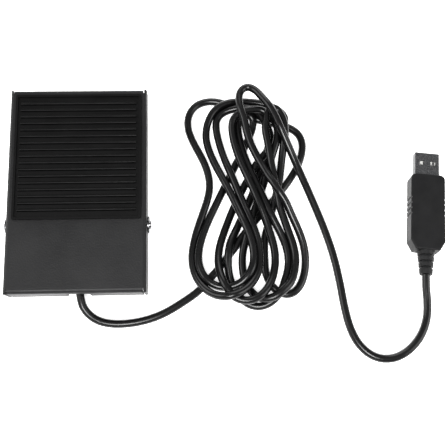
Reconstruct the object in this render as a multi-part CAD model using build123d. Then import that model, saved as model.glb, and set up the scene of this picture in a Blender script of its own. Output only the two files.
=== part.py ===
from build123d import *
import os
from math import cos, radians, tan

# Foot switch with its data cord and plug, in millimetres.
# Frame: +X to the right, +Y from the cord end to the toe end, +Z up, z = 0 is the floor.
# The origin is under the middle of the pedal itself, without its cord.

os.makedirs("parts", exist_ok=True)

# ---- driving dimensions: pedal -------------------------------------------------------------
sheet = 1.2                     # folded steel sheet of the cover and the tray
bend = 1.8                      # outer radius of its folds
cover_width = 64.0
cover_length = 96.5
heel_depth = 12.4               # flange at the cord end
toe_depth = 7.5                 # flange at the toe end
pivot_y, pivot_z = -15.9, 13.1  # hinge line of the cover
heel_reach = 32.0               # hinge line to the cord end, along the plate
plate_rise = 6.6                # hinge line to the top of the plate
rest_tilt = 5.65                # degrees, toe end up
toe_reach = cover_length - heel_reach
pin_diameter = 4.0
pin_half_length = 33.9
running_gap = 0.06              # radial play of the pin in the cover
clip_start = 32.32              # side clips on the pin, measured from the middle
clip_thickness = 0.6
clip_diameter = 7.8

mat_width, mat_length = 58.6, 60.0
mat_middle = 31.6               # from the hinge line, along the plate
mat_base, mat_corner = 0.7, 0.8
mat_shift = 0.3                 # the mat sits this far to the right of the middle
rim_height, rim_width = 0.8, 1.1
rib_count, rib_pitch, rib_width, rib_height = 17, 3.2, 1.5, 0.8

tray_width = 60.6
tray_back, tray_front = -44.5, 45.0
floor_gap = 2.0                 # height of the rubber feet
wall_top, heel_wall_top = 18.0, 15.2  # the walls stay just under the cover
tray_floor = floor_gap + sheet
notch_middle, notch_width = 0.8, 10.6  # cord notch in the cover
foot_places = [(x, y) for x in (-23.5, 23.5) for y in (-37.0, 37.5)]
foot_radius = 5.5
stop_x, stop_y = (-16.0, 16.0), 35.5
stop_top = 18.4                 # where the rubber stops end the stroke

# ---- driving dimensions: switch, spring and cord anchor ------------------------------------
switch_x = (11.0, 17.4)
switch_y = (-5.0, 14.8)
switch_z = (4.0, 13.5)
switch_wall = 0.8
lever_pivot = (14.2, -3.6, 14.3)
lever_tilt = 8.5
lever_length = 15.8
plunger_y = 1.6
blade_pivot = (14.2, -1.6, 8.7)
blade_length = 10.4
screw_places = (3.4, 12.9)
screw_height = 6.0
common_y, open_y = -1.6, 8.7    # solder tabs of the switch
tab_half, tab_z = 1.3, (4.6, 5.2)
bracket_sheet = 0.8
rivet_x, rivet_places = 22.8, (1.5, 11.0)
switch_lever_x = lever_pivot[0]
pusher_reach = 28.3             # hinge line to the pusher, along the plate
spring_x, spring_y = 0.0, 20.0
spring_radius, spring_wire = 4.5, 1.0
spring_bottom, spring_top = 3.3, 21.2
spring_turns = 6.5
cord_diameter = 3.8
entry_x, entry_z = 0.9, 7.9     # where the cord passes the wall of the tray
clamp_y, clamp_top = -36.0, 11.2
clamp_screw_x = (entry_x - 5.2, entry_x + 5.2)

# ---- driving dimensions: plug --------------------------------------------------------------
plug_front = (168.5, 9.7)       # middle of the front edge of its case, on the floor
plug_turn = -6.4                # degrees about Z
case_width, case_length, case_height = 16.6, 38.4, 8.6
case_wall = 1.3
plug_middle = case_height / 2
shell_width, shell_height, shell_wall = 12.0, 4.5, 0.3
shell_out, shell_in = 11.9, 5.0
latch_x, latch_y, latch_half = (-2.85, 2.85), (5.4, 7.5), 1.25
seam_width, seam_depth = 0.22, 0.16
dimple_places = (10.1, 8.2, 2.5)  # spots pressed into the seam of the shell
relief_length, relief_start, relief_end = 11.4, 8.4, 6.0
relief_neck = 2.3               # radius where it passes the back of the case

# ---- the cord's route on the floor, chosen by hand -----------------------------------------
lay = 1.95                      # height of the cord's middle line on the floor
lead_route = [
    (0.9, -45.5, 7.9), (1.5, -50.9, 7.3), (4.1, -55.4, 5.6), (8.5, -58.6, 3.7),
    (14.2, -60.1, 2.4), (21.5, -60.2, lay), (30.3, -58.9, lay), (39.0, -55.9, lay),
    (47.6, -50.8, lay), (55.8, -45.2, lay),
]
tail_route = [
    (103.6, 17.8, 6.6), (107.9, 6.8, 5.6), (112.6, -5.0, 3.6), (117.0, -17.0, 2.1),
    (120.3, -29.6, lay), (122.3, -42.6, lay), (123.5, -54.6, lay), (125.4, -64.6, lay),
    (129.2, -72.6, lay), (135.8, -78.0, lay), (144.0, -78.8, lay), (151.8, -75.2, lay),
    (158.1, -68.8, lay), (162.0, -60.6, lay), (163.0, -52.0, 2.3), (162.5, -45.6, 3.6),
    (163.0, -39.8, 4.3),
]
# the outside of the loose figure-eight hank, anticlockwise from its top left
hank_outline = [
    (52.0, 51.5), (47.9, 41.0), (49.6, 30.0), (55.5, 17.0), (58.4, 4.0), (54.8, -10.0),
    (50.8, -26.0), (51.4, -40.0), (57.5, -49.8), (69.0, -54.2), (83.0, -57.4), (96.5, -53.4),
    (106.0, -45.0), (109.6, -32.0), (107.0, -16.0), (101.4, 1.0), (107.6, 15.5), (112.2, 30.0),
    (107.6, 40.4), (98.6, 49.5), (92.0, 56.0), (86.4, 62.8), (79.0, 62.2), (74.0, 56.4),
    (63.0, 57.0),
]
hank_height = 15.0
hank_corner = 5.0


def save(name, shape):
    """Write one sub-part to its own file."""
    export_step(shape, f"parts/{name}.step")


def box(x, y, z):
    """A box from its lowest and highest values along each axis."""
    size = (x[1] - x[0], y[1] - y[0], z[1] - z[0])
    middle = ((x[0] + x[1]) / 2, (y[0] + y[1]) / 2, (z[0] + z[1]) / 2)
    return Pos(*middle) * Box(*size)


def rod_x(radius, x, y, z):
    """A round bar along X, from x[0] to x[1]."""
    return Pos((x[0] + x[1]) / 2, y, z) * Rot(0, 90, 0) * Cylinder(radius, x[1] - x[0])


def rod_y(radius, x, y, z):
    """A round bar along Y, from y[0] to y[1]."""
    return Pos(x, (y[0] + y[1]) / 2, z) * Rot(90, 0, 0) * Cylinder(radius, y[1] - y[0])


def rod_z(radius, x, y, z):
    """A round bar along Z, from z[0] to z[1]."""
    return Pos(x, y, (z[0] + z[1]) / 2) * Cylinder(radius, z[1] - z[0])


def slab(outline, y):
    """A flat outline of (x, z) points, given its thickness along Y from y[0] to y[1]."""
    face = make_face(Plane.XZ * Polyline(*outline, close=True))
    return Pos(0, y[1], 0) * extrude(face, y[1] - y[0])


def side_slab(outline, x):
    """A flat outline of (y, z) points, given its thickness along X from x[0] to x[1]."""
    face = make_face(Plane.YZ * Polyline(*outline, close=True))
    return Pos(x[0], 0, 0) * extrude(face, x[1] - x[0])


def folded(width, depth):
    """The section of a sheet with both edges folded down; its top is at 0."""
    outer = Pos(0, -depth / 2) * Rectangle(width, depth)
    outer = fillet(outer.vertices().group_by(Axis.Y)[-1], bend)
    inner = Pos(0, -sheet - depth / 2) * Rectangle(width - 2 * sheet, depth)
    inner = fillet(inner.vertices().group_by(Axis.Y)[-1], bend - sheet)
    return outer - inner


def folded_box(width, length, depth, slit):
    """A lid folded from sheet: four flanges with a narrow slit at each corner."""
    across = extrude(Plane.XZ * folded(width, depth), length / 2, both=True)
    along = extrude(Plane.YZ * folded(length, depth), width / 2 - sheet - slit, both=True)
    middle = Box(width - 2 * sheet - 2 * slit, length, 2 * depth)
    sides = across - middle
    plate = Pos(0, 0, -sheet / 2) * Box(width - 2 * bend, length - 2 * bend, sheet)
    lid = sides + plate + along
    for x in (-1, 1):
        for y in (-1, 1):
            place = Pos(x * (width / 2 - sheet - slit / 2), y * (length / 2 - bend / 2), 0)
            lid -= place * Box(slit, bend, 4 * depth)
    return lid


def on_cover(shape):
    """Put a shape drawn about the hinge line, with a level plate, on the tilted cover."""
    return Pos(0, pivot_y, pivot_z) * Rot(rest_tilt, 0, 0) * shape


# ---- the cover and what is fixed to it -----------------------------------------------------
def pedal_cover():
    middle = (toe_reach - heel_reach) / 2
    lid = Pos(0, middle, plate_rise) * folded_box(cover_width, cover_length, heel_depth, 0.6)
    below = plate_rise - 2 * heel_depth
    taper = [
        (-heel_reach - 1, below), (toe_reach + 1, below),
        (toe_reach + 1, plate_rise - toe_depth), (-heel_reach - 1, plate_rise - heel_depth),
    ]
    lid -= side_slab(taper, (-cover_width, cover_width))
    hole = pin_diameter / 2 + running_gap
    lid -= rod_x(hole, (-cover_width, cover_width), 0, 0)
    notch = Pos(notch_middle, 0) * Rectangle(notch_width, 2 * (heel_depth - 4.5))
    notch = fillet(notch.vertices(), 1.2)
    lid -= Pos(0, -heel_reach, plate_rise - heel_depth) * extrude(Plane.XZ * notch, 3, both=True)
    lid -= rod_z(1.5, switch_lever_x, pusher_reach, (0, plate_rise + 1))
    return on_cover(lid)


def tread_mat():
    pad = Rectangle(mat_width, mat_length)
    pad = fillet(pad.vertices(), mat_corner)
    inner = Rectangle(mat_width - 2 * rim_width, mat_length - 2 * rim_width)
    inner = fillet(inner.vertices(), mat_corner / 2)
    mat = extrude(pad, mat_base) + Pos(0, 0, mat_base) * extrude(pad - inner, rim_height)
    half = rib_width / 2
    crown = 0.35
    start, end = (-half, 0), (half, 0)
    left, right = (-crown, rib_height), (crown, rib_height)
    arc = ThreePointArc(left, (0, rib_height + 0.1), right)
    edge = Line(start, left) + arc + Line(right, end) + Line(end, start)
    section = make_face(Plane.YZ * edge)
    rib = extrude(section, mat_width / 2 - 2.4, both=True)
    for i in range(rib_count):
        place = (i - (rib_count - 1) / 2) * rib_pitch
        mat += Pos(0, place, mat_base) * rib
    return on_cover(Pos(mat_shift, mat_middle, plate_rise) * mat)


def switch_pusher():
    """A nylon button riveted through the plate; it presses the switch's lever."""
    bottom = 1.3
    stem = rod_z(1.5, 0, 0, (plate_rise - sheet, plate_rise))
    head = rod_z(2.2, 0, 0, (bottom, plate_rise - sheet))
    head = fillet(head.edges().group_by(Axis.Z)[0], 1.0)
    return on_cover(Pos(switch_lever_x, pusher_reach, 0) * (stem + head))


def spring_cup():
    """A pressed stud under the plate that keeps the top of the spring in its place."""
    reach = (spring_y - pivot_y) / cos(radians(rest_tilt)) + 0.5
    top = plate_rise - sheet
    stud = rod_z(3.0, 0, 0, (top - 2.6, top))
    stud = chamfer(stud.edges().group_by(Axis.Z)[0], 0.8)
    return on_cover(Pos(spring_x, reach, 0) * stud)


# ---- the base ------------------------------------------------------------------------------
def base_tray():
    length = tray_front - tray_back
    middle = (tray_front + tray_back) / 2
    height = wall_top - floor_gap
    pan = Rot(180, 0, 0) * folded_box(tray_width, length, height, 0.6)
    pan = Pos(0, middle, floor_gap) * pan
    above = wall_top + 1
    slope = [
        (tray_back - 1, above), (tray_back - 1, heel_wall_top), (tray_back, heel_wall_top),
        (pivot_y, wall_top), (pivot_y, above),
    ]
    pan -= side_slab(slope, (-tray_width, tray_width))
    pan -= rod_x(pin_diameter / 2 + 0.02, (-tray_width, tray_width), pivot_y, pivot_z)
    pan -= rod_y(3.5, entry_x, (tray_back - 1, tray_back + 3), entry_z)
    for x, y in foot_places:
        pan -= rod_z(2.0, x, y, (0, 5))
    for y in rivet_places:
        pan -= rod_z(1.3, rivet_x, y, (0, 5))
    for x in clamp_screw_x:
        pan -= rod_z(1.1, x, clamp_y, (0, 5))
    pan -= rod_z(2.0, spring_x, spring_y, (0, 5))
    for x in stop_x:
        pan -= rod_z(1.6, x, stop_y, (0, 5))
    return pan


def rubber_feet():
    """Four round feet, each with a stem pulled through a hole of the tray."""
    foot = rod_z(foot_radius, 0, 0, (0, floor_gap))
    foot = fillet(foot.edges().group_by(Axis.Z)[0], 0.6)
    foot += rod_z(2.0, 0, 0, (floor_gap, tray_floor))
    head = rod_z(2.9, 0, 0, (tray_floor, tray_floor + 1.4))
    foot += chamfer(head.edges().group_by(Axis.Z)[-1], 0.8)
    return Compound([Pos(x, y, 0) * foot for x, y in foot_places])


def pivot_pin():
    pin = rod_x(pin_diameter / 2, (-pin_half_length, pin_half_length), pivot_y, pivot_z)
    ends = pin.edges().group_by(Axis.X)
    pin = fillet(ends[0] + ends[-1], 0.7)
    for side in (-1, 1):
        start = side * (clip_start - 0.02)
        end = side * (clip_start + clip_thickness + 0.02)
        span = (min(start, end), max(start, end))
        ring = rod_x(3, span, pivot_y, pivot_z) - rod_x(1.6, span, pivot_y, pivot_z)
        pin -= ring
    return pin


def pivot_clips():
    """Two open spring clips that sit in the grooves of the pin."""
    clips = []
    for side in (-1, 1):
        near, far = side * clip_start, side * (clip_start + clip_thickness)
        span = (min(near, far), max(near, far))
        disc = rod_x(clip_diameter / 2, span, 0, 0) - rod_x(1.62, span, 0, 0)
        disc -= box((span[0] - 1, span[1] + 1), (-1.35, 1.35), (-5, 0))
        for angle in (35, 145, 90):
            relief = Rot(angle, 0, 0) * rod_x(0.8, (span[0] - 1, span[1] + 1), 2.5, 0)
            disc -= relief
        clips.append(Pos(0, pivot_y, pivot_z) * disc)
    return Compound(clips)


def travel_stops():
    """Two rubber bumpers that end the stroke of the cover."""
    stops = []
    for x in stop_x:
        bumper = rod_z(4.0, x, stop_y, (tray_floor, stop_top))
        bumper = fillet(bumper.edges().group_by(Axis.Z)[-1], 1.2)
        bumper += rod_z(1.6, x, stop_y, (floor_gap, tray_floor))
        stops.append(bumper)
    return Compound(stops)


def spring_post():
    """The riveted post inside the foot of the spring."""
    post = rod_z(3.2, spring_x, spring_y, (tray_floor, 8.6))
    post = chamfer(post.edges().group_by(Axis.Z)[-1], 0.8)
    return post + rod_z(2.0, spring_x, spring_y, (floor_gap, tray_floor))


def return_spring():
    """A compression spring; the middle line of its wire is one helix."""
    height = spring_top - spring_bottom - spring_wire
    line = Helix(pitch=height / spring_turns, height=height, radius=spring_radius)
    section = Plane(origin=line @ 0, z_dir=line % 0) * Circle(spring_wire / 2)
    coil = sweep(section, path=line, is_frenet=True)
    return Pos(spring_x, spring_y, spring_bottom + spring_wire / 2) * coil


# ---- the cord's way in ---------------------------------------------------------------------
def cord_bush():
    neck = rod_y(3.5, entry_x, (tray_back, tray_back + sheet), entry_z)
    outer = rod_y(4.5, entry_x, (tray_back - 1.0, tray_back), entry_z)
    inner = rod_y(4.0, entry_x, (tray_back + sheet, tray_back + sheet + 1.2), entry_z)
    outer = fillet(outer.edges().group_by(Axis.Y)[0], 0.4)
    bush = neck + outer + inner
    return bush - rod_y(cord_diameter / 2, entry_x, (tray_back - 2, tray_back + 4), entry_z)


def clamp_block(z):
    block = box((entry_x - 8, entry_x + 8), (clamp_y - 3, clamp_y + 3), z)
    block -= rod_y(cord_diameter / 2, entry_x, (clamp_y - 5, clamp_y + 5), entry_z)
    for x in clamp_screw_x:
        block -= rod_z(1.1, x, clamp_y, (0, 20))
    return block


def clamp_screws():
    """Two pan-head screws that pull the bridge down on the cord."""
    screws = []
    for x in clamp_screw_x:
        head = rod_z(2.1, x, clamp_y, (clamp_top, clamp_top + 1.5))
        head = fillet(head.edges().group_by(Axis.Z)[-1], 0.6)
        head -= box((x - 0.3, x + 0.3), (clamp_y - 3, clamp_y + 3), (clamp_top + 0.9, clamp_top + 2))
        screws.append(head + rod_z(1.1, x, clamp_y, (floor_gap, clamp_top)))
    return Compound(screws)


def cord_inner():
    """The jacketed end of the cord inside the pedal."""
    return rod_y(cord_diameter / 2, entry_x, (lead_route[0][1], -31.0), entry_z)


def wire(points, radius, corner):
    """A round wire along straight runs joined by arcs."""
    path = FilletPolyline(*points, radius=corner)
    section = Plane(origin=path @ 0, z_dir=path % 0) * Circle(radius)
    return sweep(section, path=path)


def wire_common():
    places = [
        (entry_x + 0.9, -31.0, entry_z), (entry_x + 0.9, -27.5, entry_z), (5.0, -20.0, 6.4),
        (6.4, -10.0, 4.9), (6.4, common_y - 1.5, 4.9),
    ]
    return wire(places, 0.6, 2.0)


def wire_open():
    places = [
        (entry_x - 0.9, -31.0, entry_z), (entry_x - 0.9, -27.0, entry_z), (0.8, -18.0, 6.0),
        (2.4, -3.0, 4.9), (6.4, 2.6, 4.9), (6.4, open_y - 1.5, 4.9),
    ]
    return wire(places, 0.6, 2.0)


def terminal_sleeves():
    """Heat-shrink sleeves over the soldered terminals."""
    sleeves = []
    for y in (common_y, open_y):
        sleeve = rod_y(1.3, 6.4, (y - 3.3, y + 1.6), 4.9)
        sleeve -= rod_y(0.6, 6.4, (y - 4, y - 1.5), 4.9)
        sleeve -= box((5.9, 8.5), (y - 1.3, y + 1.3), (4.6, 5.2))
        sleeves.append(sleeve)
    return Compound(sleeves)


# ---- the snap switch -----------------------------------------------------------------------
def terminal_common():
    """The common terminal, with the two posts that carry the blade."""
    strip = box((5.9, 16.2), (common_y - tab_half, common_y + tab_half), tab_z)
    x, y, z = blade_pivot
    for side in (-1, 1):
        post_x = sorted((x + side * 1.25, x + side * 1.85))
        post = box(post_x, (y - 0.9, y + 0.9), (tab_z[1], z + 0.9))
        strip += post - rod_x(0.45, (x - 3, x + 3), y, z)
    return strip


def terminal_open():
    strip = box((5.9, 15.8), (open_y - tab_half, open_y + tab_half), tab_z)
    return strip + rod_z(0.9, blade_pivot[0], open_y + 0.1, (tab_z[1], 6.5))


def terminal_closed():
    y = open_y + 0.1
    strip = box((13.2, 15.2), (y - 1.2, switch_y[1] + 3.6), (10.3, 10.8))
    return strip + rod_z(0.9, blade_pivot[0], y, (9.4, 10.3))


def contact_blade():
    """The snap-action blade, with a contact button at its free end."""
    x, y, z = blade_pivot
    barrel = rod_x(0.4, (x - 1.8, x + 1.8), y, z)
    leaf = box((x - 0.95, x + 0.95), (y, y + blade_length + 0.8), (z - 0.12, z + 0.12))
    button = rod_z(0.85, x, y + blade_length, (z - 0.4, z + 0.4))
    return barrel + leaf + button


def switch_plunger():
    stem = rod_z(0.9, switch_lever_x, plunger_y, (9.7, 14.5))
    return fillet(stem.edges().group_by(Axis.Z)[-1], 0.35)


def switch_lever():
    """The sprung steel lever over the plunger, drawn level and tilted to its rest."""
    barrel = rod_x(0.6, (-2.8, 2.8), 0, 0)
    blade = box((-1.7, 1.7), (0, lever_length + 0.8), (-0.18, 0.18))
    blade = fillet(blade.edges().filter_by(Axis.Z).group_by(Axis.Y)[-1], 1.2)
    return Pos(*lever_pivot) * Rot(lever_tilt, 0, 0) * (barrel + blade)


def switch_case():
    """The moulded case, open on one side, with ears for the lever."""
    case = box(switch_x, switch_y, switch_z)
    case = fillet(case.edges().filter_by(Axis.X), 0.5)
    inner_x = (switch_x[0] + switch_wall, switch_x[1])
    inner_y = (switch_y[0] + switch_wall, switch_y[1] - switch_wall)
    inner_z = (tab_z[0], switch_z[1] - switch_wall)
    case -= box(inner_x, inner_y, inner_z)
    for y in screw_places:
        boss = rod_x(1.55, (switch_x[0], switch_x[1] - switch_wall), y, screw_height)
        case += boss
        case -= rod_x(1.05, (switch_x[0] - 1, switch_x[1] + 1), y, screw_height)
    x, y, z = lever_pivot
    for side in ((switch_x[0], 12.2), (16.2, switch_x[1])):
        ear = box(side, (y - 1.3, y + 1.3), (switch_z[1] - 0.4, z + 1.3))
        case += fillet(ear.edges().filter_by(Axis.X).group_by(Axis.Z)[-1], 0.9)
    case -= rod_x(0.65, (11.3, 17.1), y, z)
    case -= box((12.2, 16.2), (y - 1.3, y + 1.5), (switch_z[1] - 0.25, z + 2))
    case -= rod_z(0.95, switch_lever_x, plunger_y, (11, 14))
    case -= terminal_common() + terminal_open() + terminal_closed()
    case -= switch_lid()
    return case


def switch_lid():
    """The plate that closes the side of the case."""
    span = (switch_x[1] - switch_wall, switch_x[1])
    lid = box(span, (switch_y[0] + 0.4, switch_y[1] - 0.4), (4.3, switch_z[1] - 0.4))
    for y in screw_places:
        lid -= rod_x(1.05, (10, 20), y, screw_height)
    return lid


def switch_bracket():
    """An angle of steel that stands the switch on the tray."""
    start = switch_x[1]
    plate = box((start, start + bracket_sheet), (-3.0, 16.2), (tray_floor, 11.5))
    foot = box((start, 26.4), (-3.0, 16.2), (tray_floor, tray_floor + bracket_sheet))
    for y in screw_places:
        plate -= rod_x(1.05, (10, 20), y, screw_height)
    for y in rivet_places:
        foot -= rod_z(1.3, rivet_x, y, (0, 6))
    return plate + foot


def bracket_rivets():
    rivets = []
    for y in rivet_places:
        seat = tray_floor + bracket_sheet
        head = rod_z(2.2, rivet_x, y, (seat, seat + 1.1))
        head = fillet(head.edges().group_by(Axis.Z)[-1], 0.9)
        shank = rod_z(1.3, rivet_x, y, (floor_gap, seat))
        rivets.append(head + shank + rod_z(2.1, rivet_x, y, (floor_gap - 0.6, floor_gap)))
    return Compound(rivets)


def switch_screws():
    screws = []
    for y in screw_places:
        head = rod_x(1.9, (switch_x[0] - 1.3, switch_x[0]), y, screw_height)
        head = fillet(head.edges().group_by(Axis.X)[0], 0.5)
        head -= box((switch_x[0] - 2, switch_x[0] - 0.8), (y - 3, y + 3),
                    (screw_height - 0.2, screw_height + 0.2))
        screws.append(head + rod_x(1.05, (switch_x[0], 20.3), y, screw_height))
    return Compound(screws)


def switch_nuts():
    nuts = []
    start = switch_x[1] + bracket_sheet
    for y in screw_places:
        nut = extrude(Plane.YZ * RegularPolygon(2.3, 6), 1.6)
        nut = Pos(start, y, screw_height) * nut
        nuts.append(nut - rod_x(1.05, (start - 1, start + 3), y, screw_height))
    return Compound(nuts)


# ---- the plug, drawn along Y with the front of its case at 0 --------------------------------
def on_floor(shape):
    """Put a shape drawn along Y at the place where the plug lies."""
    return Pos(plug_front[0], plug_front[1], 0) * Rot(0, 0, plug_turn) * shape


def case_outline(inset):
    """The outline of the case: a rounded front and two corners cut off at the back."""
    half = case_width / 2 - inset
    back = -case_length + inset
    shape = make_face(Polyline(
        (-half, -inset), (half, -inset), (half, back + 4.4), (half - 2.5, back),
        (-half + 2.5, back), (-half, back + 4.4), close=True,
    ))
    return fillet(shape.vertices().group_by(Axis.Y)[-1], 2.6 - inset)


def plug_case():
    """The whole case as one hollow body, before it is split at its middle."""
    body = extrude(case_outline(0), case_height)
    body = fillet(body.edges().group_by(Axis.Z)[0] + body.edges().group_by(Axis.Z)[-1], 0.7)
    body -= Pos(0, 0, case_wall) * extrude(case_outline(case_wall), case_height - 2 * case_wall)
    for side in (-1, 1):
        for i in range(4):
            groove = rod_z(0.55, side * case_width / 2, -12.6 - 2.7 * i, (-1, case_height + 1))
            body -= groove
    half_w, half_h = shell_width / 2, shell_height / 2
    body -= box((-half_w, half_w), (-3, 1), (plug_middle - half_h, plug_middle + half_h))
    body -= rod_y(relief_neck, 0, (-case_length - 1, -case_length + 3), plug_middle)
    return body


def plug_case_bottom():
    return on_floor(plug_case() & box((-20, 20), (-50, 5), (-1, plug_middle)))


def plug_case_top():
    return on_floor(plug_case() & box((-20, 20), (-50, 5), (plug_middle, 12)))


def plug_shell():
    half_w, half_h = shell_width / 2, shell_height / 2
    low, high = plug_middle - half_h, plug_middle + half_h
    tube = box((-half_w, half_w), (-shell_in, shell_out), (low, high))
    tube = fillet(tube.edges().filter_by(Axis.Y), 0.45)
    w = shell_wall
    tube -= box((-half_w + w, half_w - w), (-shell_in - 1, shell_out + 1), (low + w, high - w))
    for x in latch_x:
        tube -= box((x - latch_half, x + latch_half), latch_y, (low - 1, high + 1))
    half_seam = seam_width / 2
    tube -= box((-half_seam, half_seam), (0.4, shell_out + 1), (high - seam_depth, high + 1))
    for y in dimple_places:
        tube -= rod_z(1.6 * seam_width, 0, y, (high - seam_depth - 0.04, high + 1))
    return on_floor(tube)


def plug_tongue():
    """The insulating tongue with its block at the back of the shell."""
    w = shell_wall + 0.1
    half_w = shell_width / 2 - w
    low, high = plug_middle - shell_height / 2 + w, plug_middle + shell_height / 2 - w
    tongue = box((-half_w, half_w), (-shell_in, 11.3), (low, low + 1.9))
    block = box((-half_w, half_w), (-shell_in, 2.4), (low, high))
    return on_floor(tongue + block)


def plug_contacts():
    w = shell_wall + 0.1
    low = plug_middle - shell_height / 2 + w + 1.9
    strips = []
    for x, front in ((-3.5, 10.4), (-1.0, 9.4), (1.0, 9.4), (3.5, 10.4)):
        strips.append(box((x - 0.5, x + 0.5), (2.4, front), (low, low + 0.15)))
    return on_floor(Compound(strips))


def controller_board():
    board = box((-6.4, 6.4), (-31.5, -shell_in), (3.2, 4.2))
    return on_floor(board)


def controller_chip():
    chip = box((-2.5, 2.5), (-19.5, -11.0), (4.2, 5.8))
    return on_floor(chamfer(chip.edges().group_by(Axis.Z)[-1], 0.2))


def timing_crystal():
    can = box((-4.8, 4.8), (-25.6, -22.4), (4.2, 6.4))
    return on_floor(fillet(can.edges().filter_by(Axis.Z), 1.5))


def board_parts():
    """Small resistors and capacitors beside the controller."""
    places = [(x, y) for x in (-5.0, 5.0) for y in (-9.0, -12.5, -16.0, -19.5)]
    parts = [box((x - 0.4, x + 0.4), (y - 0.8, y + 0.8), (4.2, 4.9)) for x, y in places]
    return on_floor(Compound(parts))


def plug_relief():
    """The tapered, slotted sleeve that keeps the cord from kinking at the plug."""
    start = -case_length
    end = start - relief_length
    big, small = relief_start / 2, relief_end / 2
    outline = Polyline((0, start), (big, start), (small, end), (0, end), close=True)
    sleeve = revolve(make_face(outline), Axis.Y)
    slot, depth = 1.0, 1.0
    for i in range(3):
        y = start - 2.0 - 2.9 * i
        radius = big - (start - y) / relief_length * (big - small)
        sleeve -= rod_y(big + 1, 0, (y - slot, y), 0) - rod_y(radius - depth, 0, (y - slot, y), 0)
    neck = rod_y(relief_neck, 0, (start, start + case_wall), 0)
    collar = rod_y(relief_neck + 0.6, 0, (start + case_wall, start + case_wall + 1.3), 0)
    return on_floor(Pos(0, 0, plug_middle) * (sleeve + neck + collar))


# ---- the cord ------------------------------------------------------------------------------
def tube(points, label):
    """A tube along straight runs joined by the largest arcs that they leave room for."""
    places = [Vector(*p) for p in points]
    runs = [b - a for a, b in zip(places, places[1:])]
    radii = []
    for one, two in zip(runs, runs[1:]):
        half_turn = radians(one.get_angle(two)) / 2
        radii.append(0.45 * min(one.length, two.length) / tan(half_turn))
    path = FilletPolyline(*places, radius=radii)
    section = Plane(origin=path @ 0, z_dir=path % 0) * Circle(cord_diameter / 2)
    solid = sweep(section, path=path)
    print(label, "radii", [round(r, 1) for r in radii], "length", round(path.length, 1))
    print(label, "volume", round(solid.volume), "expected",
          round(path.length * 3.14159 * cord_diameter ** 2 / 4))
    return solid


def cord_hank():
    outline = FilletPolyline(*hank_outline, radius=hank_corner, close=True)
    return extrude(make_face(outline), hank_height)


nodes = {
    "base_tray": base_tray, "rubber_feet": rubber_feet, "pivot_pin": pivot_pin,
    "pivot_clips": pivot_clips, "travel_stops": travel_stops, "spring_post": spring_post,
    "return_spring": return_spring, "cord_bush": cord_bush, "cord_inner": cord_inner,
    "clamp_screws": clamp_screws, "wire_common": wire_common, "wire_open": wire_open,
    "terminal_sleeves": terminal_sleeves, "terminal_common": terminal_common,
    "terminal_open": terminal_open, "terminal_closed": terminal_closed,
    "switch_case": switch_case, "switch_lid": switch_lid, "switch_bracket": switch_bracket,
    "bracket_rivets": bracket_rivets, "switch_screws": switch_screws,
    "switch_nuts": switch_nuts, "switch_lever": switch_lever,
    "switch_plunger": switch_plunger, "contact_blade": contact_blade,
    "pedal_cover": pedal_cover, "tread_mat": tread_mat, "switch_pusher": switch_pusher,
    "spring_cup": spring_cup, "plug_case_bottom": plug_case_bottom,
    "plug_case_top": plug_case_top, "plug_shell": plug_shell, "plug_tongue": plug_tongue,
    "plug_contacts": plug_contacts, "controller_board": controller_board,
    "controller_chip": controller_chip, "timing_crystal": timing_crystal,
    "board_parts": board_parts, "plug_relief": plug_relief, "cord_hank": cord_hank,
}
for name, make in nodes.items():
    save(name, make())
save("clamp_base", clamp_block((tray_floor, entry_z)))
save("clamp_bridge", clamp_block((entry_z, clamp_top)))
save("cord_lead", tube(lead_route, "cord_lead"))
save("cord_tail", tube(tail_route, "cord_tail"))
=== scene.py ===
from math import cos, pi, radians, sin

import bmesh
import bpy
import numpy as np
from mathutils import Matrix, Vector


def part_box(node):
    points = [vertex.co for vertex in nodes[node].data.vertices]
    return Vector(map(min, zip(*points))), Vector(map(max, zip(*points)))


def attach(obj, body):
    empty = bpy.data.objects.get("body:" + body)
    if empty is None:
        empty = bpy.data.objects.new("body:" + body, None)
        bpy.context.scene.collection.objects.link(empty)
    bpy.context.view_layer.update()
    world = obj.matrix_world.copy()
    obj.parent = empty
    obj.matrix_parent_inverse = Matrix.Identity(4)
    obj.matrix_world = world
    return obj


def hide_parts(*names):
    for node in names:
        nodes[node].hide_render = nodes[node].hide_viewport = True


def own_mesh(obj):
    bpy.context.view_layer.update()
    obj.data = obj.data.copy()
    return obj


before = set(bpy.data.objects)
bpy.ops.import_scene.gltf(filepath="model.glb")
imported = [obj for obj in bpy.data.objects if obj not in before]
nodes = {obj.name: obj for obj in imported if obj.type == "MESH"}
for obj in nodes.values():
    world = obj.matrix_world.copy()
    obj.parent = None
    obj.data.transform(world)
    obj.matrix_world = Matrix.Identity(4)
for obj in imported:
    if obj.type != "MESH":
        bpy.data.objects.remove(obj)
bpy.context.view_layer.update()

# ---- Camera, floor and lights --------------------------------------------------------------
# The pedal lies on a white light table and is looked at from above and a little from the cord's
# end, with the lens over the hank. Four soft lights stand round it, as for catalogue work.
camera_data = bpy.data.cameras.new("camera")
camera_data.lens = 56.25
camera_data.clip_start = 0.01
camera = bpy.data.objects.new("camera", camera_data)
camera.location = (0.0567, -0.1153, 0.3245)
camera.rotation_euler = (radians(17.72), radians(-1.58), radians(-1.35))
bpy.context.scene.collection.objects.link(camera)
bpy.context.scene.camera = camera
bpy.context.scene.view_settings.view_transform = "Standard"

floor_mesh = bmesh.new()
bmesh.ops.create_circle(floor_mesh, cap_ends=True, segments=96, radius=3.0)
floor_data = bpy.data.meshes.new("table_top")
floor_mesh.to_mesh(floor_data)
floor_mesh.free()
floor = bpy.data.objects.new("table_top", floor_data)
floor.location = (0.06, 0.0, -0.0001)
bpy.context.scene.collection.objects.link(floor)

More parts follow.
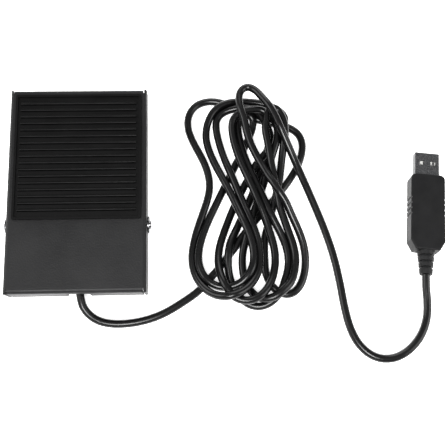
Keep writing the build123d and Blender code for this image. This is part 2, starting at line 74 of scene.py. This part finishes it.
paper = bpy.data.materials.new("table_paper")
paper.use_nodes = True
paper_shader = paper.node_tree.nodes["Principled BSDF"]
paper_shader.inputs["Base Color"].default_value = (0.92, 0.92, 0.92, 1)
paper_shader.inputs["Roughness"].default_value = 0.9
paper_shader.inputs["Specular IOR Level"].default_value = 0.1
paper_shader.inputs["Emission Color"].default_value = (1, 1, 1, 1)
paper_shader.inputs["Emission Strength"].default_value = 0.6   # a light table
floor_data.materials.append(paper)

world = bpy.data.worlds.new("studio")
world.use_nodes = True
sky = world.node_tree.nodes["Background"]
sky.inputs["Strength"].default_value = 0.5
# the walls of the studio are grey and its ceiling is white
direction = world.node_tree.nodes.new("ShaderNodeTexCoord")
split = world.node_tree.nodes.new("ShaderNodeSeparateXYZ")
upward = world.node_tree.nodes.new("ShaderNodeMapRange")
upward.inputs["From Min"].default_value, upward.inputs["From Max"].default_value = 0.10, 0.75
upward.inputs["To Min"].default_value, upward.inputs["To Max"].default_value = 0.5, 1.0
world.node_tree.links.new(direction.outputs["Generated"], split.inputs["Vector"])
world.node_tree.links.new(split.outputs["Z"], upward.inputs["Value"])
world.node_tree.links.new(upward.outputs["Result"], sky.inputs["Color"])
bpy.context.scene.world = world

soft_boxes = [
    ("overhead_box", (-0.10, -0.55, 1.00), 0.50, 20.0),
    ("left_box", (-0.95, 0.10, 0.60), 0.80, 8.0),
    ("right_box", (1.05, -0.25, 0.65), 0.80, 9.0),
    ("far_box", (0.10, 1.05, 0.55), 0.80, 6.0),
]
for name, place, size, watts in soft_boxes:
    lamp = bpy.data.lights.new(name, "AREA")
    lamp.shape = "DISK"
    lamp.size = size
    lamp.energy = watts
    box = bpy.data.objects.new(name, lamp)
    box.location = place
    aim = Vector((0.06, 0, 0)) - Vector(place)
    box.rotation_euler = aim.to_track_quat("-Z", "Y").to_euler()
    bpy.context.scene.collection.objects.link(box)

# ---- Data cord -----------------------------------------------------------------------------
# A limp cord in a soft black jacket, in one length from the bush in the pedal's heel to the
# plug. It is laid down as a loose figure-eight hank, whose loops fan out, as nothing ties them.
cord_diameter = 0.0038
cord_radius = cord_diameter / 2
lay = 0.00195                     # height of the middle line on the table
lead_route = [
    (0.0009, -0.0455, 0.0079), (0.0015, -0.0509, 0.0073), (0.0041, -0.0554, 0.0056),
    (0.0085, -0.0586, 0.0037), (0.0142, -0.0601, 0.0024), (0.0215, -0.0602, lay),
    (0.0303, -0.0589, lay), (0.0390, -0.0559, lay), (0.0476, -0.0508, lay),
    (0.0558, -0.0452, lay),
]
tail_route = [
    (0.1036, 0.0178, 0.0066), (0.1079, 0.0068, 0.0056), (0.1126, -0.0050, 0.0036),
    (0.1170, -0.0170, 0.0021), (0.1203, -0.0296, lay), (0.1223, -0.0426, lay),
    (0.1235, -0.0546, lay), (0.1254, -0.0646, lay), (0.1292, -0.0726, lay),
    (0.1358, -0.0780, lay), (0.1440, -0.0788, lay), (0.1518, -0.0752, lay),
    (0.1581, -0.0688, lay), (0.1620, -0.0606, lay), (0.1630, -0.0520, 0.0023),
    (0.1625, -0.0456, 0.0036), (0.1630, -0.0398, 0.0043),
]
second, third = lay + cord_diameter, lay + 2 * cord_diameter
# the first stretch runs under the hank, and round to its left side
under_route = [
    (0.0635, -0.0365, lay), (0.0712, -0.0267, lay), (0.0788, -0.0160, lay),
    (0.0846, -0.0093, lay), (0.0935, 0.0003, lay), (0.1012, 0.0097, lay),
    (0.1078, 0.0205, lay), (0.1100, 0.0325, lay), (0.1045, 0.0388, lay),
    (0.0955, 0.0402, lay), (0.0845, 0.0445, lay), (0.0740, 0.0508, lay),
    (0.0625, 0.0552, lay), (0.0525, 0.0515, lay), (0.0493, 0.0410, lay),
    (0.0530, 0.0310, lay), (0.0600, 0.0185, lay), (0.0625, 0.0075, lay),
    (0.0600, -0.0015, lay), (0.0555, -0.0130, lay),
]
# the last stretch lies over everything, with a small loop of its own at the top
over_route = [
    (0.1045, -0.0190, third), (0.1003, -0.0110, third), (0.0956, -0.0020, third),
    (0.0907, 0.0070, third), (0.0861, 0.0160, third), (0.0821, 0.0245, third),
    (0.0789, 0.0340, third), (0.0768, 0.0430, third), (0.0757, 0.0510, third),
    (0.0766, 0.0556, third), (0.0807, 0.0586, third), (0.0850, 0.0558, third),
    (0.0878, 0.0500, third),
    (0.0920, 0.0420, third), (0.0972, 0.0310, third),
]
# One row a turn: the lower loop, where the cord crosses the waist on its way up, the upper
# loop, and where it crosses the waist going down. A loop has its left and right side, the
# place of its tip, and how full it is; 1 is round.
turns = [
    ((0.0534, 0.0846, 0.0680, -0.0509, 1), 0.0752, (0.0662, 0.0940, 0.0735, 0.0478, 1.12), 0.0854),
    ((0.0690, 0.1004, 0.0828, -0.0542, 1), 0.0838, (0.0752, 0.0856, 0.0804, 0.0462, 1), 0.0692),
    ((0.0536, 0.0837, 0.0681, -0.0455, 1), 0.0710, (0.0597, 0.1000, 0.0820, 0.0518, 1.12), 0.0778),
    ((0.0642, 0.0922, 0.0777, -0.0527, 1), 0.0836, (0.0734, 0.0966, 0.0825, 0.0460, 1), 0.0884),
    ((0.0758, 0.1008, 0.0866, -0.0519, 1), 0.0930, (0.0898, 0.0995, 0.0945, 0.0465, 1), 0.0962),
]
last_loop = (0.0853, 0.1065, 0.0970, -0.0490, 1)
lower_level, upper_level = -0.030, 0.035   # where the loops are widest
end_radius = 0.0050      # least radius of a loop's drawn end; the laid cord cuts it a little short
corner_reach = 1.08      # how far the points stand outside the curve that they draw


def loop_end(loop, level, heights):
    """Five points round the end of a loop, from its left side to its right side."""
    left, right, tip_x, tip_y, fullness = loop
    middle, half = (left + right) / 2, (right - left) / 2
    depth = min(abs(tip_y - level), half * half / end_radius)
    level = tip_y - depth if tip_y > level else tip_y + depth
    points = []
    for quarter, height in enumerate(heights):
        angle = quarter * pi / 4
        reach = corner_reach * (fullness if quarter in (1, 3) else 1)
        x = middle - reach * half * cos(angle) + (tip_x - middle) * sin(angle)
        points.append((x, level + reach * (tip_y - level) * sin(angle), height))
    return points


going_up, going_down = (lay, lay, lay, second, second), (second, second, lay, lay, lay)
hank_route = list(under_route)
next_left = [row[0][0] for row in turns[1:]] + [last_loop[0]]
for (lower, rise, upper, fall), left in zip(turns, next_left):
    hank_route += loop_end(lower, lower_level, going_up)
    hank_route += [
        (0.5 * lower[1] + 0.5 * rise + 0.0006, -0.0145, second), (rise, 0.0034, second),
        (0.25 * rise + 0.75 * upper[0], 0.021, second),
    ]
    hank_route += loop_end(upper, upper_level, going_down)
    hank_route += [
        (0.4 * upper[1] + 0.6 * fall, 0.021, lay), (0.83 * fall + 0.17 * left, 0.002, lay),
        (0.36 * fall + 0.64 * left, -0.013, lay),
    ]
hank_route += loop_end(last_loop, lower_level, going_up) + over_route


def cord_curve(name, points, radius):
    """One open NURBS spline with those control points, as a tube if it's given a radius."""
    curve = bpy.data.curves.new(name, "CURVE")
    curve.dimensions = "3D"
    curve.resolution_u = 4
    curve.bevel_depth = 1.0 if radius else 0.0   # metres for a point's radius of one
    curve.bevel_resolution = 5
    curve.use_fill_caps = radius > 0
    spline = curve.splines.new("NURBS")
    spline.points.add(len(points) - 1)
    for spot, place in zip(spline.points, points):
        spot.co = (*place, 1)
        spot.radius = radius
    spline.order_u = 3
    spline.use_endpoint_u = True
    piece = bpy.data.objects.new(name, curve)
    bpy.context.scene.collection.objects.link(piece)
    return piece


def smooth_line(points, step):
    """Places along the smooth line of a route, one step apart."""
    draft = cord_curve("draft_line", points, 0)
    mesh = bpy.data.meshes.new_from_object(draft)
    line = np.array([v.co for v in mesh.vertices])
    bpy.data.objects.remove(draft)
    run = np.concatenate(([0], np.cumsum(np.linalg.norm(np.diff(line, axis=0), axis=1))))
    stops = np.linspace(0, run[-1], int(run[-1] / step) + 1)
    return np.stack([np.interp(stops, run, line[:, axis]) for axis in range(3)], axis=1)


strand_step = 0.0030     # between two points of the line that is settled
settling_rounds = 120
neighbours = 4           # points so near along the cord don't touch each other
alike = 0.35             # sine of the angle up to which two strands run side by side
stacked = 0.4            # in diameters: strands nearer than that lie one above the other
touch = 0.96             # in diameters: strands nearer than that rest on each other
push_share, ease_share, home_share = 0.12, 0.2, 0.08
clear_lead = 0.3         # in layers: what decides by itself which strand is above
sink = 0.00003           # how far the cord drops in each round
contact_rounds = 100     # the longest contact, in points


def settle(line, rounds):
    """Move strands that run side by side apart, then let the line sink on the table and on the
    strands below it: by their layers, and within a layer in the order of laying down."""
    order = np.arange(len(line))
    strangers = np.abs(order[:, None] - order[None]) > neighbours
    home = line[:, :2].copy()
    flat = home.copy()
    for turn in range(rounds):
        run = np.gradient(flat, axis=0)
        run /= np.linalg.norm(run, axis=1)[:, None]
        turned = np.abs(run[:, None, 0] * run[None, :, 1] - run[:, None, 1] * run[None, :, 0])
        gap = flat[:, None] - flat[None]
        apart = np.linalg.norm(gap, axis=2) + 1e-9
        beside = strangers & (turned < alike) & (apart < cord_diameter)
        beside &= apart > stacked * cord_diameter
        share = np.where(beside, push_share * (cord_diameter - apart) / apart, 0)
        push = (gap * share[..., None]).sum(1)
        ease = np.zeros_like(flat)
        ease[1:-1] = (flat[:-2] + flat[2:]) / 2 - flat[1:-1]
        flat[2:-2] += (push + ease_share * ease + home_share * (home - flat))[2:-2]
    apart = np.linalg.norm(flat[:, None] - flat[None], axis=2)
    touching = strangers & (apart < touch * cord_diameter)
    # one contact between two strands gets one answer, or they would climb over each other
    count = len(line)
    contact = np.arange(count * count).reshape(count, count)
    for spread in range(contact_rounds):
        for shift in ((0, 1), (0, -1), (1, 0), (-1, 0), (1, 1), (-1, -1), (1, -1), (-1, 1)):
            beyond = np.roll(np.where(touching, contact, count * count), shift, (0, 1))
            contact = np.where(touching, np.minimum(contact, beyond), contact)
    layer = (line[:, 2] - lay) / cord_diameter
    lead = np.where(touching, layer[:, None] - layer[None], 0).ravel()
    cells = np.maximum(np.bincount(contact.ravel()), 1)
    lead = (np.bincount(contact.ravel(), lead) / cells)[contact]
    over = np.where(np.abs(lead) > clear_lead, lead > 0, order[:, None] > order[None])
    below = touching & over
    step_up = np.sqrt(np.maximum(cord_diameter ** 2 - apart ** 2, 0))
    height = line[:, 2].copy()
    for turn in range(rounds):
        height[1:-1] += 0.5 * ((height[:-2] + height[2:]) / 2 - height[1:-1]) - sink
        rest = np.where(below, height[None] + step_up, lay).max(axis=1)
        height = np.maximum(rest, height)
    for turn in range(2):
        height[1:-1] += 0.5 * ((height[:-2] + height[2:]) / 2 - height[1:-1])
    return np.column_stack((flat, height))


# the hank leans on the last points of the lead and on the first ones of the tail
leaning = 3
strands = smooth_line(lead_route[-leaning:] + hank_route + tail_route[:leaning], strand_step)
near_end = 40            # points within which the hank starts and ends
from_lead = np.linalg.norm(strands[:near_end] - np.array(hank_route[0]), axis=1).argmin()
to_tail = np.linalg.norm(strands[-near_end:] - np.array(hank_route[-1]), axis=1).argmin()
settled = settle(strands, settling_rounds)[from_lead:len(strands) - near_end + to_tail]
data_cord = cord_curve("data_cord", lead_route + [tuple(p) for p in settled] + tail_route,
                       cord_radius)
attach(data_cord, "base")
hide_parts("cord_lead", "cord_hank", "cord_tail")


def grain_group():
    """A fine pebbled surface as a normal: its grain's fineness, its depth and a coarser swell."""
    group = bpy.data.node_groups.new("fine_grain", "ShaderNodeTree")
    for label, value in (("Fineness", 2500.0), ("Depth", 0.00003), ("Swell", 0.3)):
        socket = group.interface.new_socket(label, in_out="INPUT", socket_type="NodeSocketFloat")
        socket.default_value = value
    group.interface.new_socket("Normal", in_out="OUTPUT", socket_type="NodeSocketVector")
    given = group.nodes.new("NodeGroupInput")
    result = group.nodes.new("NodeGroupOutput")
    place = group.nodes.new("ShaderNodeTexCoord")
    fine = group.nodes.new("ShaderNodeTexNoise")
    fine.inputs["Detail"].default_value = 3.0
    coarse = group.nodes.new("ShaderNodeTexNoise")
    coarse.inputs["Detail"].default_value = 2.0
    quarter = group.nodes.new("ShaderNodeMath")
    quarter.operation = "MULTIPLY"
    quarter.inputs[1].default_value = 0.22
    share = group.nodes.new("ShaderNodeMath")
    share.operation = "MULTIPLY"
    total = group.nodes.new("ShaderNodeMath")
    total.operation = "ADD"
    bump = group.nodes.new("ShaderNodeBump")
    link = group.links.new
    for texture in (fine, coarse):
        link(place.outputs["Object"], texture.inputs["Vector"])
    link(given.outputs["Fineness"], fine.inputs["Scale"])
    link(given.outputs["Fineness"], quarter.inputs[0])
    link(quarter.outputs[0], coarse.inputs["Scale"])
    link(coarse.outputs["Fac"], share.inputs[0])
    link(given.outputs["Swell"], share.inputs[1])
    link(fine.outputs["Fac"], total.inputs[0])
    link(share.outputs[0], total.inputs[1])
    link(total.outputs[0], bump.inputs["Height"])
    link(given.outputs["Depth"], bump.inputs["Distance"])
    link(bump.outputs["Normal"], result.inputs["Normal"])
    return group


def mottle_group():
    """A soft patchy value between two limits, as handling and moulding leave it."""
    group = bpy.data.node_groups.new("soft_mottle", "ShaderNodeTree")
    for label, value in (("Size", 120.0), ("Low", 0.4), ("High", 0.6)):
        socket = group.interface.new_socket(label, in_out="INPUT", socket_type="NodeSocketFloat")
        socket.default_value = value
    group.interface.new_socket("Value", in_out="OUTPUT", socket_type="NodeSocketFloat")
    given = group.nodes.new("NodeGroupInput")
    result = group.nodes.new("NodeGroupOutput")
    place = group.nodes.new("ShaderNodeTexCoord")
    cloud = group.nodes.new("ShaderNodeTexNoise")
    cloud.inputs["Detail"].default_value = 4.0
    limits = group.nodes.new("ShaderNodeMapRange")
    limits.inputs["From Min"].default_value = 0.3
    limits.inputs["From Max"].default_value = 0.7
    link = group.links.new
    link(place.outputs["Object"], cloud.inputs["Vector"])
    link(given.outputs["Size"], cloud.inputs["Scale"])
    link(cloud.outputs["Fac"], limits.inputs["Value"])
    link(given.outputs["Low"], limits.inputs["To Min"])
    link(given.outputs["High"], limits.inputs["To Max"])
    link(limits.outputs["Result"], result.inputs["Value"])
    return group


fine_grain, soft_mottle = grain_group(), mottle_group()


def finish(name, dark, light, roughness, fineness, depth, metallic=0.0, specular=0.5, patch=150.0):
    """A finish whose colour and roughness wander a little between two limits, over a fine grain."""
    material = bpy.data.materials.new(name)
    material.use_nodes = True
    tree = material.node_tree
    shader = tree.nodes["Principled BSDF"]
    shader.inputs["Metallic"].default_value = metallic
    shader.inputs["Specular IOR Level"].default_value = specular
    grain = tree.nodes.new("ShaderNodeGroup")
    grain.node_tree = fine_grain
    grain.inputs["Fineness"].default_value = fineness
    grain.inputs["Depth"].default_value = depth
    tone = tree.nodes.new("ShaderNodeGroup")
    tone.node_tree = soft_mottle
    tone.inputs["Size"].default_value = patch
    tone.inputs["Low"].default_value, tone.inputs["High"].default_value = 0.0, 1.0
    gloss = tree.nodes.new("ShaderNodeGroup")
    gloss.node_tree = soft_mottle
    gloss.inputs["Size"].default_value = 0.6 * patch
    gloss.inputs["Low"].default_value, gloss.inputs["High"].default_value = roughness
    mix = tree.nodes.new("ShaderNodeMix")
    mix.data_type = "RGBA"
    mix.inputs["A"].default_value = (*dark, 1)
    mix.inputs["B"].default_value = (*light, 1)
    tree.links.new(tone.outputs["Value"], mix.inputs["Factor"])
    tree.links.new(mix.outputs["Result"], shader.inputs["Base Color"])
    tree.links.new(gloss.outputs["Value"], shader.inputs["Roughness"])
    tree.links.new(grain.outputs["Normal"], shader.inputs["Normal"])
    return material


def paint(material, *names):
    """Give CAD nodes their finish."""
    for name in names:
        mesh = nodes[name].data
        if not mesh.materials:
            mesh.materials.append(material)
        for i in range(len(mesh.materials)):
            mesh.materials[i] = material


jacket = finish("cord_jacket", (0.0012, 0.0012, 0.0013), (0.0026, 0.0026, 0.0027),
                (0.22, 0.30), 1400.0, 0.00002, specular=0.26, patch=90.0)
data_cord.data.materials.append(jacket)
paint(jacket, "cord_inner")

# ---- Base tray -----------------------------------------------------------------------------
# A pan folded from 1.2 mm steel sheet and powder coated black, with a narrow slit at each
# corner. Four moulded rubber feet are pulled through holes of its floor.
powder_coat = finish("powder_coat", (0.0040, 0.0040, 0.0043), (0.0075, 0.0075, 0.0078),
                     (0.40, 0.50), 1500.0, 0.00010, specular=0.18, patch=60.0)
paint(powder_coat, "base_tray")
foot_rubber = finish("foot_rubber", (0.010, 0.010, 0.010), (0.018, 0.018, 0.018), (0.62, 0.78),
                     2600.0, 0.00004, specular=0.3)
paint(foot_rubber, "rubber_feet", "travel_stops", "cord_bush")

# ---- Hinge pin and its clips ---------------------------------------------------------------
# A chromed steel pin through both side walls, held by an open spring clip in a groove at each
# end. The clips are bright zinc-plated sheet.
chrome = finish("pin_chrome", (0.20, 0.20, 0.205), (0.28, 0.28, 0.285), (0.08, 0.16),
                900.0, 0.000004, metallic=1.0)
paint(chrome, "pivot_pin")
clip_zinc = finish("clip_zinc", (0.045, 0.045, 0.048), (0.085, 0.085, 0.087), (0.20, 0.32),
                   1500.0, 0.00001, metallic=1.0)
paint(clip_zinc, "pivot_clips")

# ---- Return spring and its seats -----------------------------------------------------------
# A coil of 1.0 mm music wire, with a closed turn at each end, stands over a riveted post and
# takes the cover's weight; a pressed stud under the cover keeps its top in place.
spring_low, spring_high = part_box("return_spring")
wire_radius = 0.0005
coil_radius = (spring_high.x - spring_low.x) / 2 - wire_radius
coil_middle = (spring_low + spring_high) / 2
coil_height = spring_high.z - spring_low.z - 2 * wire_radius
closed_rise = 2.1 * wire_radius
coil = bmesh.new()
start = Matrix.Translation((coil_middle.x + coil_radius, coil_middle.y,
                            spring_low.z + wire_radius)) @ Matrix.Rotation(pi / 2, 4, "X")
bmesh.ops.create_circle(coil, segments=12, radius=wire_radius, matrix=start)
end = coil.edges[:]
stages = [(1, closed_rise), (5, coil_height - 2 * closed_rise), (1, closed_rise)]
for coils, rise in stages:
    steps = 36 * coils
    spun = bmesh.ops.spin(coil, geom=end, cent=(coil_middle.x, coil_middle.y, 0), axis=(0, 0, 1),
                          dvec=(0, 0, rise / steps), angle=2 * pi * coils, steps=steps)
    end = [e for e in spun["geom_last"] if isinstance(e, bmesh.types.BMEdge)]
bmesh.ops.holes_fill(coil, edges=[e for e in coil.edges if e.is_boundary], sides=12)
bmesh.ops.remove_doubles(coil, verts=coil.verts, dist=0.00001)
bmesh.ops.recalc_face_normals(coil, faces=coil.faces)
coil_mesh = bpy.data.meshes.new("return_coil")
coil.to_mesh(coil_mesh)
coil.free()
coil_mesh.shade_smooth()
return_coil = bpy.data.objects.new("return_coil", coil_mesh)
bpy.context.scene.collection.objects.link(return_coil)
spring_steel = finish("spring_steel", (0.30, 0.30, 0.31), (0.40, 0.40, 0.40), (0.26, 0.40),
                      1800.0, 0.00001, metallic=1.0)
coil_mesh.materials.append(spring_steel)
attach(return_coil, "base")
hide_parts("return_spring")
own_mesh(return_coil)
zinc = finish("zinc_plate", (0.40, 0.41, 0.43), (0.55, 0.55, 0.54), (0.28, 0.42),
              1600.0, 0.00001, metallic=1.0)
paint(zinc, "spring_post", "spring_cup")

# ---- Cord clamp and wires ------------------------------------------------------------------
# Inside the heel the jacket is held between two nylon blocks pulled together by two screws.
# From there two thin insulated wires run to the switch, with a shrunk sleeve at each terminal.
nylon = finish("natural_nylon", (0.50, 0.48, 0.42), (0.60, 0.58, 0.52), (0.40, 0.52),
               2200.0, 0.00002)
paint(nylon, "clamp_base", "clamp_bridge", "switch_pusher", "switch_plunger")
paint(zinc, "clamp_screws")
paint(finish("wire_red", (0.30, 0.010, 0.008), (0.38, 0.020, 0.014), (0.34, 0.46),
             1500.0, 0.00001), "wire_common")
paint(finish("wire_white", (0.52, 0.52, 0.50), (0.62, 0.62, 0.60), (0.34, 0.46),
             1500.0, 0.00001), "wire_open")
paint(finish("shrink_sleeve", (0.010, 0.010, 0.010), (0.018, 0.018, 0.018), (0.45, 0.60),
             1900.0, 0.00003), "terminal_sleeves")

# ---- Snap switch ---------------------------------------------------------------------------
# A stock snap switch in a black glass-filled case, screwed to a steel angle that is riveted to
# the tray. Its sprung lever is worked by a nylon button under the cover.
switch_black = finish("switch_moulding", (0.012, 0.012, 0.013), (0.022, 0.022, 0.023),
                      (0.42, 0.56), 2400.0, 0.00004)
paint(switch_black, "switch_case", "switch_lid")
brass = finish("contact_brass", (0.60, 0.43, 0.17), (0.70, 0.52, 0.24), (0.26, 0.40),
               1700.0, 0.00001, metallic=1.0)
paint(brass, "terminal_common", "terminal_open", "terminal_closed", "contact_blade")
paint(zinc, "switch_bracket", "bracket_rivets", "switch_screws", "switch_nuts")
paint(spring_steel, "switch_lever")

# ---- Pedal cover ---------------------------------------------------------------------------
# A lid folded from the same sheet as the tray and powder coated black, with a deep flange at
# the cord's end. It rocks on the hinge pin, which passes through both of its side flanges.
paint(powder_coat, "pedal_cover")

# ---- Tread mat -----------------------------------------------------------------------------
# A moulded rubber mat glued to the plate, with a thin raised rim and seventeen ribs across.
tread_rubber = finish("tread_rubber", (0.0006, 0.0006, 0.0006), (0.0014, 0.0014, 0.0014),
                      (0.44, 0.56), 2300.0, 0.00003, specular=0.09, patch=110.0)
paint(tread_rubber, "tread_mat")

# ---- Data plug -----------------------------------------------------------------------------
# Two halves of a black moulded case are snapped together round a small circuit board. The
# shell is tin-plated sheet steel, and the tongue inside it carries four plated strips.
plug_black = finish("plug_moulding", (0.0030, 0.0030, 0.0033), (0.0055, 0.0055, 0.0058),
                    (0.42, 0.52), 2600.0, 0.00005, specular=0.18)
paint(plug_black, "plug_case_top", "plug_case_bottom")
tin_plate = finish("tin_plate", (0.055, 0.057, 0.059), (0.150, 0.150, 0.154), (0.32, 0.44),
                   2600.0, 0.000006, metallic=1.0, patch=1500.0)
paint(tin_plate, "plug_shell")
paint(finish("tongue_plastic", (0.50, 0.50, 0.48), (0.62, 0.62, 0.60), (0.40, 0.52),
             2200.0, 0.00001), "plug_tongue")
paint(zinc, "plug_contacts")
paint(finish("circuit_board", (0.008, 0.075, 0.030), (0.016, 0.120, 0.050), (0.30, 0.45),
             1500.0, 0.00001, patch=1200.0), "controller_board")
paint(finish("chip_resin", (0.012, 0.012, 0.013), (0.020, 0.020, 0.021), (0.50, 0.62),
             3000.0, 0.00002), "controller_chip")
paint(zinc, "timing_crystal")
paint(finish("small_part_body", (0.30, 0.22, 0.14), (0.44, 0.34, 0.22), (0.40, 0.55),
             2600.0, 0.00001, patch=1500.0), "board_parts")

# ---- Kink sleeve ---------------------------------------------------------------------------
# A soft tapered sleeve on the cord behind the plug, moulded with three deep grooves so that it
# bends evenly.
paint(plug_black, "plug_relief")
